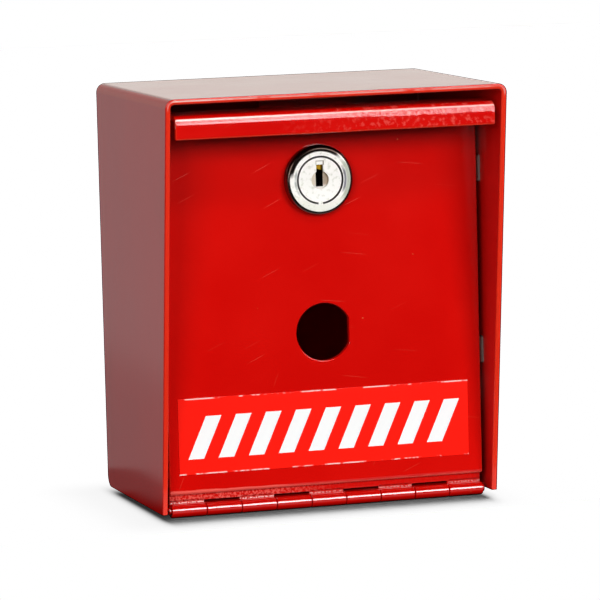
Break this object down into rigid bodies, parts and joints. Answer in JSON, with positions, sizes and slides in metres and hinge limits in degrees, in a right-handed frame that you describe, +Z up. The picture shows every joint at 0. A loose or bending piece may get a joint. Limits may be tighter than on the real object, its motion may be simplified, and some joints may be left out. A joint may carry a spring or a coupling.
{
  "type": "wall-mounted key box",
  "caption": "Small steel wall box for keys: a wrap with raked sides and a rain hood, a bottom-hinged door with a pull lip, a keyed cam lock and a spare D-shaped lock hole.",
  "frame": {"origin": "middle of the footprint's bounding box, on the surface that the box stands on", "axes": "+Z up, the door and the hood face -Y, the flat back faces +Y, +X is right as seen from the front"},
  "size_m": [0.1226, 0.0899, 0.1465],
  "materials": {
    "red_powder_coat": "gloss powder coat with a fine orange-peel texture",
    "zinc_plated_steel": "zinc plated",
    "bare_steel": "drawn wire",
    "polished_chrome": "polished chrome plate on a die casting",
    "brass": "stamped",
    "grey_rubber": "matt",
    "red_film": "bright red printed vinyl film, its printing left out"
  },
  "bodies": {
    "housing": {"wrap_shell": "red_powder_coat", "back_floor_panel": "red_powder_coat", "hinge_body_leaf": "red_powder_coat", "hinge_pin": "bare_steel", "latch_strike": "red_powder_coat", "stop_pads_left": "grey_rubber", "stop_pads_right": "grey_rubber", "key_hook_strip": "zinc_plated_steel"},
    "door": {"door_panel": "red_powder_coat", "hinge_door_leaf": "red_powder_coat", "door_label": "red_film", "lock_shell": "polished_chrome", "lock_washer": "zinc_plated_steel", "lock_nut": "zinc_plated_steel"},
    "lock_core": {"lock_plug": "polished_chrome", "tumbler_wafers": "brass", "tumbler_springs": "bare_steel", "cam_stop_washer": "zinc_plated_steel", "cam": "zinc_plated_steel", "cam_lock_washer": "zinc_plated_steel", "cam_screw": "zinc_plated_steel"}
  },
  "joints": [
    {"name": "door_hinge", "type": "hinge", "parent": "housing", "child": "door", "pos_m": [0, -0.022, 0.00223], "axis": [1, 0, 0], "range_deg": [0, 180]},
    {"name": "lock_turn", "type": "hinge", "parent": "door", "child": "lock_core", "pos_m": [-0.0011, -0.02267, 0.11466], "axis": [0, -1, 0], "range_deg": [0, 90]}
  ]
}
